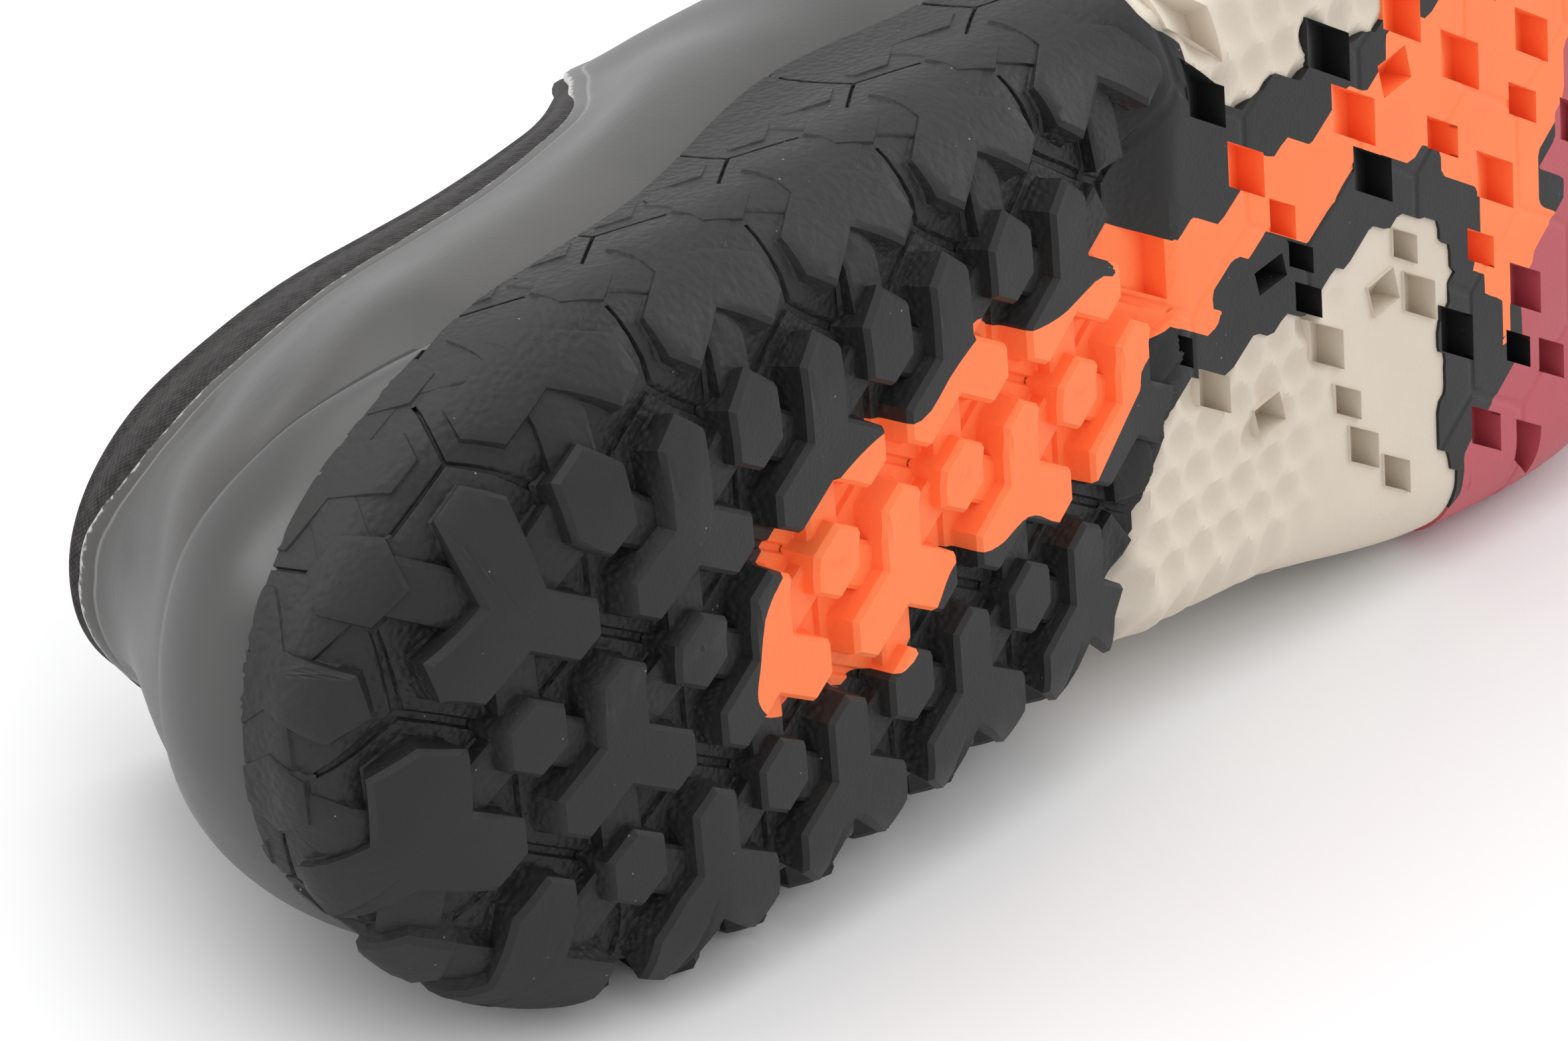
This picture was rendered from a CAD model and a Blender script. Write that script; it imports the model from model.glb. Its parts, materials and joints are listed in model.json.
"""A trail running shoe lying on its side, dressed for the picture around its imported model.

The shoe is worked out in its own frame, as in its source: x runs from heel to toe, y towards the inner
side and z up from the ground that the lugs would stand on. to_world() lays it on its side.
"""

import json
import math

import bmesh
import bpy
import numpy as np
from mathutils import Matrix, Vector


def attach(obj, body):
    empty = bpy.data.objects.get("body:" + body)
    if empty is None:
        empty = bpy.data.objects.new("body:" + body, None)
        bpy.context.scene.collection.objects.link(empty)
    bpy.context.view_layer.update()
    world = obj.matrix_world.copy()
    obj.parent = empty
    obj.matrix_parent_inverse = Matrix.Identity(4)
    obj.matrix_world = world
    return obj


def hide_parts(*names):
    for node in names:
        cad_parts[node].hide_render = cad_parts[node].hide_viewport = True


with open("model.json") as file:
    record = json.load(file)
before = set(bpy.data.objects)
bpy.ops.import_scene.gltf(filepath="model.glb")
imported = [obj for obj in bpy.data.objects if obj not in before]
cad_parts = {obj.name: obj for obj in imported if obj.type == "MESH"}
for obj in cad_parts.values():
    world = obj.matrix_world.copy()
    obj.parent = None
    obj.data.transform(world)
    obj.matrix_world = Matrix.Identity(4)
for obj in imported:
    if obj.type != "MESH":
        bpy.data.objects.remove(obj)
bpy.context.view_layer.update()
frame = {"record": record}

# Sizes of the shoe, in metres, as in its source
LENGTH = 0.300
BALL_WIDTH = 0.106
HEEL_WIDTH = 0.074
STACK_HEEL = 0.0195
STACK_BALL = 0.0165
SIDE_HEIGHT = 0.025
TOE_SPRING = 0.016
HEEL_SPRING = 0.008
ARCH_RISE = 0.0015
LUG_PITCH = 0.0235
LUG_HEIGHT = 0.0038
RIM = 0.0028
INSTEP_HEIGHT = 0.086
WALL = 0.0022
FILM = 0.0008
CUP_WALL = 0.0022
INSOLE = 0.0035
TONGUE = 0.0040
LACE_WIDTH = 0.0056
LACE_THICK = 0.0016           # worn thinner than in the source
CLEAR = 0.0003

# Half widths of the sole at shares of its length: under the heel in half heel widths, ahead in ball widths
HEEL_OUTLINE = (
    ("station", "inner", "outer"),
    (0.00, 0.93, 0.98),
    (0.17, 1.00, 1.00),
)
BALL_OUTLINE = (
    ("station", "inner", "outer"),
    (0.40, 0.345, 0.345),
    (0.50, 0.372, 0.372),
    (0.64, 0.470, 0.512),
    (0.74, 0.505, 0.490),
    (0.86, 0.470, 0.400),
    (1.00, 0.420, 0.290),
)
HEEL_ROUND = 0.150
TOE_ROUND = 0.215
ROUND_POWER = 2.15
TOE_BEND = 0.74
TOE_POWER = 1.8
HEEL_BEND = 0.15
HEEL_POWER = 1.4
ARCH_STATION = 0.44
ARCH_SPREAD = 0.10
DROP_START = 0.20
DROP_RUN = 0.50

# Width and height of the rolled edge, in heel widths
ROLL = (
    ("station", "inner_width", "inner_height", "outer_width", "outer_height"),
    (0.00, 0.15, 0.085, 0.15, 0.085),
    (0.08, 0.13, 0.080, 0.24, 0.110),
    (0.20, 0.07, 0.06, 0.24, 0.140),
    (0.42, 0.07, 0.06, 0.20, 0.14),
    (0.60, 0.08, 0.07, 0.09, 0.08),
    (1.00, 0.16, 0.12, 0.16, 0.12),
)
# Height of the side's top edge, in usual side heights
RIM_EDGE = (
    ("station", "inner", "outer"),
    (0.00, 0.92, 0.92),
    (0.08, 0.84, 0.84),
    (0.20, 0.95, 0.90),
    (0.35, 1.22, 1.30),
    (0.47, 1.10, 1.08),
    (0.65, 1.02, 1.02),
    (0.85, 1.08, 1.08),
    (1.00, 1.20, 1.20),
)
# The opening's station, half width and height, the wall's swell, its crown and the bare fabric at the collar
UPPER = (
    ("station", "opening", "half", "height", "swell", "crown", "fabric"),
    (0.00, 0.068, 0.300, 0.800, 0.075, 0.00, 0.030),
    (0.05, 0.105, 0.310, 0.790, 0.075, 0.00, 0.110),
    (0.12, 0.150, 0.340, 0.745, 0.060, 0.02, 0.140),
    (0.22, 0.235, 0.370, 0.700, 0.050, 0.05, 0.125),
    (0.32, 0.320, 0.360, 0.740, 0.060, 0.10, 0.105),
    (0.40, 0.390, 0.300, 0.880, 0.085, 0.30, 0.040),
    (0.46, 0.430, 0.240, 0.990, 0.085, 0.48, 0.030),
    (0.60, 0.515, 0.215, 0.900, 0.075, 0.62, 0.030),
    (0.76, 0.590, 0.205, 0.780, 0.085, 0.75, 0.030),
    (0.90, 0.640, 0.200, 0.715, 0.110, 0.85, 0.030),
    (1.00, 0.665, 0.190, 0.700, 0.120, 0.90, 0.030),
)
OPENING_HEEL_ROUND = 0.130
OPENING_TOE_ROUND = 0.050
WALL_RISE = 0.50
WALL_FALL = 0.38
WALL_REACH = 0.55

# Height of the moulded cup above the sole's edge, in usual side heights
CUP_REACH = 0.105
CUP_THINNING = 0.55
CUP = (
    ("share", "height"),
    (0.00, 0.62),
    (0.35, 0.60),
    (0.70, 0.40),
    (0.90, 0.20),
    (1.00, 0.10),
)

# Eyelets and tongue, as shares of the way around the sole and up the wall; the last eyelet lies a little
# further forward than in the source
EYELET_ROWS = 6
EYELET_RADIUS = 0.0019
EYELET_FIRST = 0.417
EYELET_LAST = 0.266
EYELET_SHARE = 0.93
LACE_ARCH = 0.0050
TONGUE_BACK = 0.215
TONGUE_FRONT = 0.425
TONGUE_ROWS = 18
TONGUE_STEPS = 8
TONGUE_CROWN = 0.09
TONGUE_GAP = 0.0008
TUCK = 0.84
TUCK_FRONT = 0.04
TONGUE_TIP = (-0.008, 0.0, 0.004)    # lower than in the source, as it is hidden in the photo
TIP_SHARE = 0.70

# Edges between the colours of the tread, in lug pitches along and across it
INNER_WINDOW = (
    (2.60, -3.20), (2.66, -2.60), (2.70, -2.16), (2.90, -1.90), (3.00, -1.73), (3.05, -1.60),
    (3.12, -1.49), (3.22, -1.33), (3.48, -1.19), (3.72, -1.28), (4.03, -1.17), (4.30, -1.17),
    (4.74, -1.09), (5.08, -0.99), (5.34, -1.02), (5.58, -1.11), (5.72, -1.22), (5.82, -1.39),
    (5.86, -1.56), (5.80, -1.72), (5.68, -1.85), (5.78, -2.00), (5.74, -2.20), (5.66, -2.38),
    (5.76, -2.56), (5.84, -2.70), (5.86, -3.20),
)
OUTER_WINDOW = (
    (3.38, 2.60), (3.40, 1.20), (3.45, 0.79), (3.60, 0.44), (3.70, 0.28), (3.78, 0.20),
    (3.90, 0.09), (4.10, 0.07), (4.28, 0.13), (4.74, 0.15), (5.05, 0.08), (5.30, 0.10),
    (5.60, 0.42), (6.20, 0.95), (6.45, 1.60), (6.60, 2.60),
)
STRIPE = (
    (-0.12, -1.10), (-0.08, -0.95), (0.00, -0.80), (0.26, -0.62), (0.50, -0.47), (0.88, -0.38),
    (1.20, -0.44), (1.46, -0.30), (1.80, -0.20), (2.05, -0.36), (2.40, -0.40), (2.72, -0.34),
    (2.86, -0.40), (2.80, -0.24), (3.00, -0.22), (3.20, -0.32), (3.55, -0.36), (4.02, -0.34),
    (3.96, -0.18), (4.12, -0.24), (4.36, -0.24), (4.90, -0.16), (5.17, -0.20), (5.26, -0.02),
    (5.42, 0.06), (5.75, -0.02), (6.30, 0.35), (7.60, 0.55), (7.60, -0.90), (6.90, -1.10),
    (6.72, -1.30), (6.90, -1.62), (6.72, -1.84), (6.50, -1.90), (6.40, -2.15), (6.32, -2.22),
    (6.15, -1.80), (6.00, -1.60), (6.12, -1.42), (6.10, -1.22), (5.75, -0.97), (5.62, -0.76),
    (5.46, -0.80), (5.10, -0.66), (4.80, -0.70), (4.76, -0.82), (4.50, -0.88), (4.28, -0.74),
    (4.00, -0.76), (3.68, -0.82), (3.80, -0.97), (3.65, -1.04), (3.40, -0.90), (3.12, -0.94),
    (3.05, -1.06), (2.60, -1.40), (2.30, -1.46), (2.02, -1.30), (1.72, -1.34), (1.40, -1.26),
    (1.20, -1.44), (0.98, -1.62), (0.72, -1.58), (0.60, -1.60), (0.42, -1.42), (0.20, -1.50),
    (-0.02, -1.44), (-0.16, -1.28),
)
TOE_EDGE = (
    (5.70, -4.20), (5.74, -2.90), (5.90, -2.62), (6.25, -2.42), (6.52, -2.20), (6.40, -1.95),
    (6.66, -1.75), (6.98, -1.50), (6.72, -1.30), (6.90, -1.05), (7.00, -0.70), (7.10, -0.20),
    (7.40, 0.80), (7.70, 3.20), (11.0, 3.20), (11.0, -4.20),
)

# Honeycomb tread, in lug pitches
CELL = 1.0 / math.sqrt(3.0)   # side of a honeycomb cell
ROW = 0.5 * math.sqrt(3.0)    # distance between rows of lugs
HEX_RADIUS = 0.195
ARM_HALF = 0.145
ARM_LENGTH = 0.385
TAB_HALF = 0.115
LATTICE_X = 2.35 * LUG_PITCH
LATTICE_Y = 0.85 * LUG_PITCH

# From here on toe-wards the tread is level with its lugs, with pockets that slope down to a step
PLATEAU_START = 3.12
PLATEAU_RISE = 0.30
PLATEAU_INNER = 0.30          # how much sooner it rises on the inner side

# The middle of each pocket's deep edge, the edge's half length and the reach of the slope behind it
POCKETS = (
    ("kind", "along", "across", "half", "reach"),
    ("step", 3.34, -0.56, 0.160, 0.46),
    ("step", 4.16, -0.37, 0.120, 0.34),
    ("step", 4.41, -0.72, 0.090, 0.25),
    ("step", 5.14, -0.45, 0.130, 0.44),
    ("step", 5.59, -0.06, 0.120, 0.40),
    ("step", 6.14, -0.51, 0.130, 0.42),
    ("step", 6.84, -0.62, 0.120, 0.38),
    ("step", 5.92, -0.85, 0.090, 0.34),
    ("step", 6.71, -0.95, 0.090, 0.32),
    ("step", 6.46, -1.30, 0.130, 0.42),
    ("step", 6.25, -1.60, 0.090, 0.30),
    ("step", 6.90, 0.00, 0.120, 0.40),
    ("step", 3.86, 0.10, 0.110, 0.34),
    ("step", 4.93, -0.02, 0.130, 0.42),
    ("step", 3.50, -1.07, 0.080, 0.22),
    ("step", 5.28, -0.82, 0.120, 0.40),
    ("step", 4.55, -0.98, 0.070, 0.24),
    ("step", 6.02, -2.00, 0.130, 0.36),
    ("step", 3.80, -1.42, 0.100, 0.30),
    ("step", 3.86, 0.42, 0.100, 0.34),
    ("step", 4.61, -1.24, 0.080, 0.26),
    ("step", 4.79, -1.57, 0.110, 0.34),
    ("step", 5.50, -1.29, 0.080, 0.26),
    ("step", 5.66, -1.64, 0.110, 0.34),
    ("step", 4.93, -1.94, 0.080, 0.26),
    ("step", 5.08, -2.26, 0.100, 0.30),
    ("step", 5.37, -2.53, 0.090, 0.28),
    ("step", 4.62, 0.62, 0.110, 0.36),
    ("step", 5.30, 0.60, 0.110, 0.36),
    ("step", 6.72, -2.02, 0.120, 0.36),
    ("step", 6.28, -2.66, 0.110, 0.34),
    ("step", 6.70, -2.90, 0.100, 0.30),
    ("step", 6.95, -2.52, 0.100, 0.30),
    ("step", 6.60, -2.32, 0.090, 0.28),
    ("step", 7.30, -1.30, 0.120, 0.40),
    ("step", 7.45, -2.00, 0.120, 0.40),
    ("step", 7.55, -0.60, 0.120, 0.40),
    ("step", 7.60, -2.70, 0.110, 0.36),
    ("step", 8.05, -1.70, 0.120, 0.40),
    ("step", 8.20, -1.00, 0.120, 0.40),
    ("step", 8.20, -2.40, 0.120, 0.40),
    ("step", 7.70, 0.10, 0.120, 0.40),
    ("step", 8.40, -0.30, 0.120, 0.40),
    ("step", 8.90, -1.40, 0.120, 0.40),
    ("step", 8.90, -2.00, 0.110, 0.36),
    ("step", 9.45, -1.10, 0.110, 0.36),
    ("step", 6.40, 0.60, 0.120, 0.40),
    ("step", 7.00, 0.80, 0.110, 0.36),
    ("step", 7.70, 0.80, 0.110, 0.36),
    ("step", 9.40, -1.80, 0.100, 0.34),
    ("step", 9.00, -0.70, 0.110, 0.36),
    ("side", 5.36, -0.34, 0.130, 0.20),
    ("side", 4.20, -0.98, 0.120, 0.14),
    ("side", 6.45, -0.20, 0.140, 0.22),
    ("side", 5.20, -1.50, 0.120, 0.20),
    ("side", 4.15, -1.75, 0.110, 0.18),
)
# Directions of the deep edge and of the slope, in degrees from the toe-ward direction
POCKET_TURNS = {"step": (90.0, 150.0), "side": (5.0, 105.0)}


def whole_outline():
    """Half widths of the whole sole, in metres."""
    names, *heel = HEEL_OUTLINE
    rows = [(row[0], 0.5 * HEEL_WIDTH * row[1], 0.5 * HEEL_WIDTH * row[2]) for row in heel]
    rows += [(row[0], BALL_WIDTH * row[1], BALL_WIDTH * row[2]) for row in BALL_OUTLINE[1:]]
    return (names, *rows)


OUTLINE = whole_outline()


def smooth(table, column, at):
    """A named column of a table at any places along its first column, without overshoot."""
    names, *rows = table
    xs = np.array([row[0] for row in rows])
    ys = np.array([row[names.index(column)] for row in rows])
    at = np.clip(at, xs[0], xs[-1])
    steps = np.diff(ys) / np.diff(xs)
    product = steps[:-1] * steps[1:]
    total = np.where(product > 0, steps[:-1] + steps[1:], 1.0)
    slopes = np.concatenate([steps[:1], np.where(product > 0, 2.0 * product / total, 0.0), steps[-1:]])
    i = np.clip(np.searchsorted(xs, at, side="right") - 1, 0, len(xs) - 2)
    span = xs[i + 1] - xs[i]
    t = (at - xs[i]) / span
    return (
        (2 * t**3 - 3 * t**2 + 1) * ys[i]
        + (t**3 - 2 * t**2 + t) * span * slopes[i]
        + (3 * t**2 - 2 * t**3) * ys[i + 1]
        + (t**3 - t**2) * span * slopes[i + 1]
    )


def ease(value, low, high):
    """0 below low, 1 above high, smooth between."""
    t = np.clip((value - low) / (high - low), 0.0, 1.0)
    return t * t * (3.0 - 2.0 * t)


def round_end(share, reach):
    rest = np.clip(1.0 - share / reach, 0.0, 1.0)
    return np.maximum(0.0, 1.0 - rest**ROUND_POWER) ** (1.0 / ROUND_POWER)


def ring_place(share):
    """Side (+1 inner, -1 outer) and station at a share of the way around, starting along the inner side."""
    t = 2.0 * np.mod(share, 1.0)
    side = np.where(t <= 1.0, 1.0, -1.0)
    t = np.where(t > 1.0, 2.0 - t, t)
    return side, 0.5 - 0.5 * np.cos(np.pi * t)


def outline(share):
    side, station = ring_place(share)
    inner = smooth(OUTLINE, "inner", station)
    outer = smooth(OUTLINE, "outer", station)
    ends = round_end(station, HEEL_ROUND) * round_end(1.0 - station, TOE_ROUND)
    middle = 0.5 * (inner - outer)
    half = 0.5 * (inner + outer) * ends
    return np.stack([station * LENGTH, middle + side * half], axis=-1)


EDGE_STEP = 0.004             # share of the way around that measures the edge's direction


def inward(share):
    along = outline(share + EDGE_STEP) - outline(share - EDGE_STEP)
    along /= np.linalg.norm(along, axis=-1, keepdims=True)
    return np.stack([along[..., 1], -along[..., 0]], axis=-1)


def by_side(rows, share, inner_column, outer_column):
    side, station = ring_place(share)
    return np.where(side > 0, smooth(rows, inner_column, station), smooth(rows, outer_column, station))


def toe_lift(x):
    return TOE_SPRING * np.maximum(0.0, (x / LENGTH - TOE_BEND) / (1.0 - TOE_BEND)) ** TOE_POWER


def ground(x):
    share = x / LENGTH
    bevel = HEEL_SPRING * np.maximum(0.0, 1.0 - share / HEEL_BEND) ** HEEL_POWER
    arch = ARCH_RISE * np.exp(-(((share - ARCH_STATION) / ARCH_SPREAD) ** 2))
    return toe_lift(x) + bevel + arch


def footbed(x):
    share = np.clip((x / LENGTH - DROP_START) / DROP_RUN, 0.0, 1.0)
    blend = 0.5 - 0.5 * np.cos(np.pi * share)
    return STACK_HEEL + (STACK_BALL - STACK_HEEL) * blend + toe_lift(x)


def rim_height(share):
    return by_side(RIM_EDGE, share, "inner", "outer") * SIDE_HEIGHT + toe_lift(outline(share)[..., 0])


# Where the shoe lies: its footbed mount gives the direction of its z axis and one point
MOUNT = next(m for m in frame["record"]["mounts"] if m["name"] == "footbed")
MOUNT_X = 0.045
MOUNT_SINK = 0.0007           # depth of the mount under the top of the insole
UP = Vector(MOUNT["axis"]).normalized()
slope = -UP.x / UP.z
down_x = slope / math.sqrt(1.0 + slope**2)
DOWN = Vector((down_x, -math.sqrt(1.0 - down_x**2 - UP.z**2), UP.z))
ALONG = (Vector((1.0, 0.0, 0.0)) - DOWN * DOWN.x).normalized()
TURN = np.array([ALONG, DOWN.cross(ALONG), DOWN])
MOUNT_Z = footbed(MOUNT_X) + CLEAR + INSOLE - MOUNT_SINK
SHIFT = np.array(MOUNT["pos_m"]) - TURN @ np.array([MOUNT_X, 0.0, MOUNT_Z])


def to_world(points):
    return np.asarray(points) @ TURN.T + SHIFT


# The sole's skin, measured around its edge
RING = 1200
CHUNK = 4000                  # places worked on at a time
SHARES = np.arange(RING) / RING
EDGE = outline(SHARES)
INTO = inward(SHARES)
TANGENT = np.stack([-INTO[:, 1], INTO[:, 0]], axis=-1)
ROLL_WIDTH = by_side(ROLL, SHARES, "inner_width", "outer_width") * HEEL_WIDTH
ROLL_HEIGHT = by_side(ROLL, SHARES, "inner_height", "outer_height") * HEEL_WIDTH
RIM_Z = rim_height(SHARES)
OUTER_SPAN = (0.004, 0.024)   # metres across the sole over which the outer side's tread ends
OUTERNESS = 1.0 - ease(EDGE[:, 1], *OUTER_SPAN)


def beside(plan):
    """Place around the sole's edge that is nearest to each plan point, as a fractional ring number."""
    found = np.empty(len(plan))
    for start in range(0, len(plan), CHUNK):
        part = plan[start:start + CHUNK]
        near = ((part[:, None] - EDGE[None]) ** 2).sum(axis=2).argmin(axis=1)

        def past(k):
            return ((part - EDGE[k % RING]) * TANGENT[k % RING]).sum(axis=1)

        before, here, after = past(near - 1), past(near), past(near + 1)
        ahead = here > 0
        span = np.where(ahead, here - after, before - here)
        step = np.where(ahead, here, before) / np.where(np.abs(span) > 1e-9, span, 1.0)
        found[start:start + CHUNK] = near - np.where(ahead, 0.0, 1.0) + np.clip(step, 0.0, 1.0)
    return found


def around(table, place):
    low = np.floor(place).astype(int)
    t = place - low
    if table.ndim > 1:
        t = t[:, None]
    return table[low % RING] * (1.0 - t) + table[(low + 1) % RING] * t


def plan_of(uv):
    return np.stack([LATTICE_X + uv[:, 0] * LUG_PITCH, -LATTICE_Y - uv[:, 1] * LUG_PITCH], axis=-1)


class Skin:
    """Facts about places of the flat tread pattern: where they lie on the rolled edge and the side."""

    def __init__(self, uv):
        self.plan = plan_of(uv)
        self.place = beside(self.plan)
        self.edge = around(EDGE, self.place)
        into = around(INTO, self.place)
        self.into = into / np.linalg.norm(into, axis=1, keepdims=True)
        self.width = around(ROLL_WIDTH, self.place)
        self.height = around(ROLL_HEIGHT, self.place)
        inset = ((self.plan - self.edge) * self.into).sum(axis=1)
        self.travel = np.maximum(self.width - inset, 0.0)
        mean = 0.5 * (self.width + self.height)
        self.angle = np.minimum(self.travel / mean, 0.5 * np.pi)
        past = self.travel - 0.5 * np.pi * mean
        self.climb = np.maximum(past, 0.0)
        top = LUG_HEIGHT + self.height + ground(self.edge[:, 0])
        self.room = around(RIM_Z, self.place) - top - past
        self.outerness = around(OUTERNESS, self.place)

    def points(self, lift):
        sideways = self.width * (1.0 - np.sin(self.angle)) - lift * np.sin(self.angle)
        rolled = self.edge + self.into * sideways[:, None]
        flat = self.travel <= 0.0
        plan = np.where(flat[:, None], self.plan, rolled)
        rise = self.height * (1.0 - np.cos(self.angle)) + self.climb - lift * np.cos(self.angle)
        z = LUG_HEIGHT + np.where(flat, -lift, rise) + ground(plan[:, 0])
        return np.column_stack([plan, z])


# Flat meshes: rows of (along, across, lift) with triangles, cut and stamped before they are wrapped
def clip(points, tris, value):
    """The part of a triangle mesh where a value given at its points is positive."""
    inside = value > 0
    count = inside[tris].sum(axis=1)
    kept = [tuple(tri) for tri in tris[count == 3]]
    cuts = {}
    extra = []

    def crossing(a, b):
        key = (min(a, b), max(a, b))
        if key not in cuts:
            t = value[key[0]] / (value[key[0]] - value[key[1]])
            cuts[key] = len(points) + len(extra)
            extra.append(points[key[0]] + (points[key[1]] - points[key[0]]) * t)
        return cuts[key]

    for tri in tris[(count > 0) & (count < 3)]:
        walk = []
        for a, b in zip(tri, np.roll(tri, -1)):
            if inside[a]:
                walk.append(a)
            if inside[a] != inside[b]:
                walk.append(crossing(a, b))
        kept.extend((walk[0], walk[k], walk[k + 1]) for k in range(1, len(walk) - 1))
    if extra:
        points = np.vstack([points, extra])
    return compact(points, np.array(kept, dtype=int).reshape(-1, 3))


def compact(points, tris):
    used, index = np.unique(tris, return_inverse=True)
    return points[used], index.reshape(-1, 3)


def welded(mesh):
    """A mesh with the points that lie on one another made one."""
    points, tris = mesh
    _, first, index = np.unique(np.round(points, 7), axis=0, return_index=True, return_inverse=True)
    return points[first], index.reshape(-1)[tris]


def joined(meshes):
    points = []
    tris = []
    start = 0
    for mesh_points, mesh_tris in meshes:
        points.append(mesh_points)
        tris.append(mesh_tris + start)
        start += len(mesh_points)
    return np.vstack(points), np.vstack(tris)


def rounded(rows, steps, until):
    """A closed outline through its rows, with soft corners up to a place along the sole."""
    rows = np.array(rows)
    result = []
    for i in range(len(rows)):
        a, b, c, d = rows[i - 1], rows[i], rows[(i + 1) % len(rows)], rows[(i + 2) % len(rows)]
        count = steps if max(b[0], c[0]) < until else 1
        for t in np.arange(count) / count:
            result.append(0.5 * (
                2 * b + (c - a) * t + (2 * a - 5 * b + 4 * c - d) * t**2 + (3 * b - a - 3 * c + d) * t**3
            ))
    return np.array(result)


STEPPED_FROM = 2.9            # lug pitches along the sole
STEPPED_RUN = 1.2             # a longer edge stays straight
LATTICE_TURNS = np.radians(np.arange(30, 390, 60))


def stepped(rows):
    """A closed outline whose edges, on the front of the sole, run along the honeycomb's directions."""
    result = []
    rows = np.array(rows)
    for here, after in zip(rows, np.roll(rows, -1, axis=0)):
        result.append(here)
        run = after - here
        if min(here[0], after[0]) < STEPPED_FROM or np.linalg.norm(run) > STEPPED_RUN:
            continue
        turn = np.mod(np.arctan2(run[1], run[0]) - LATTICE_TURNS[0], 2.0 * np.pi)
        low = LATTICE_TURNS[0] + math.floor(turn / (np.pi / 3.0)) * np.pi / 3.0
        first = np.array([math.cos(low), math.sin(low)])
        second = np.array([math.cos(low + np.pi / 3.0), math.sin(low + np.pi / 3.0)])
        part = (run[0] * second[1] - run[1] * second[0]) / (first[0] * second[1] - first[1] * second[0])
        result.append(here + first * part)
    return np.array(result)


def depth_in(polygon, uv):
    """Distance of places from a polygon's edge, positive inside."""
    start = polygon
    end = np.roll(polygon, -1, axis=0)
    run = end - start
    result = np.empty(len(uv))
    for k in range(0, len(uv), CHUNK):
        part = uv[k:k + CHUNK]
        off = part[:, None] - start[None]
        t = np.clip((off * run).sum(axis=2) / (run**2).sum(axis=1), 0.0, 1.0)
        gap = np.sqrt(((off - t[..., None] * run) ** 2).sum(axis=2).min(axis=1))
        above = (start[:, 1] > part[:, None, 1]) != (end[:, 1] > part[:, None, 1])
        rise = np.where(run[:, 1] == 0.0, 1.0, run[:, 1])
        cross = run[:, 0] * (part[:, None, 1] - start[:, 1]) / rise + start[:, 0]
        hit = (above & (part[:, None, 0] < cross)).sum(axis=1) % 2
        result[k:k + CHUNK] = np.where(hit == 1, gap, -gap)
    return result


def plateau(uv):
    """How far the tread has risen to the level of its lug tops, 0 at the heel and 1 at the ball."""
    start = PLATEAU_START - PLATEAU_INNER * ease(-uv[:, 1], 1.0, 1.6)
    return ease(uv[:, 0], start, start + PLATEAU_RISE)


def polar(radius, degrees):
    t = np.radians(degrees)
    return np.stack([radius * np.cos(t), radius * np.sin(t)], axis=-1)


def ring_tris(rings, count):
    """Triangles between rings of points, and of the fan from the last ring to the point after it."""
    tris = []
    for k in range(rings - 1):
        for i in range(count):
            a, b = k * count + i, k * count + (i + 1) % count
            tris.append((a, b, b + count))
            tris.append((a, b + count, a + count))
    last = (rings - 1) * count
    tris.extend((last + i, last + (i + 1) % count, last + count) for i in range(count))
    return np.array(tris)


def filled(corners, per_edge, rings):
    """A fan of rings around the origin, from the outline of the corners inwards; rings are (scale, lift)."""
    corners = np.array(corners)
    loop = []
    for a, b in zip(corners, np.roll(corners, -1, axis=0)):
        loop.extend(a + (b - a) * k / per_edge for k in range(per_edge))
    loop = np.array(loop)
    count = len(loop)
    points = [np.column_stack([loop * scale, np.full(count, lift)]) for scale, lift in rings]
    points.append(np.array([[0.0, 0.0, rings[-1][1]]]))
    return np.vstack(points), ring_tris(len(rings), count)


def grown(corners, step):
    """An outline with each edge moved outwards."""
    corners = np.array(corners)
    result = []
    for i, here in enumerate(corners):
        first = here - corners[i - 1]
        second = corners[(i + 1) % len(corners)] - here
        first /= np.linalg.norm(first)
        second /= np.linalg.norm(second)
        out = np.array([first[1] + second[1], -first[0] - second[0]])
        out /= np.linalg.norm(out)
        result.append(here + out * step / (out @ np.array([first[1], -first[0]])))
    return np.array(result)


# Growth and lift of a lug's rings from its root up, and the sizes of the rings within its top
LUG_RINGS = ((0.026, -0.10), (0.006, 0.10), (0.0, 0.84), (-0.020, 1.0))
LUG_TOPS = (0.84, 0.64, 0.44, 0.22)
TAB_END = 0.10                # distance of a tab's ends from the corners of its cell's edge


def lug_mesh(corners, per_edge, top=1.0):
    """A lug with a flared root, a wall and a small bevel; its lift is a share of the lug's height."""
    corners = np.array(corners)
    loops = []
    for step, lift in LUG_RINGS:
        moved = grown(corners, step)
        for a, b in zip(moved, np.roll(moved, -1, axis=0)):
            loops.extend([*(a + (b - a) * k / per_edge), lift * top] for k in range(per_edge))
    count = per_edge * len(corners)
    points = [np.array(loops)]
    inner = points[0][-count:]
    for scale in LUG_TOPS:
        points.append(inner * (scale, scale, 1.0))
    points.append(np.array([[0.0, 0.0, top]]))
    return np.vstack(points), ring_tris(len(LUG_RINGS) + len(LUG_TOPS), count)


def three_arms():
    tip = ARM_LENGTH + ARM_HALF * math.tan(math.radians(30))
    crotch = ARM_HALF / math.sin(math.radians(60))
    corners = []
    for degrees in (90, 210, 330):
        along = polar(1.0, degrees)
        left = np.array([-along[1], along[0]])
        corners += [along * ARM_LENGTH - left * ARM_HALF, along * tip, along * ARM_LENGTH + left * ARM_HALF]
        corners.append(polar(crotch, degrees + 60))
    return np.array(corners)


def tab(degrees):
    along = polar(1.0, degrees)
    left = np.array([-along[1], along[0]])
    return np.array([
        along * TAB_END - left * TAB_HALF, along * (CELL - TAB_END) - left * TAB_HALF,
        along * (CELL - TAB_END) + left * TAB_HALF, along * TAB_END + left * TAB_HALF,
    ])


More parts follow.
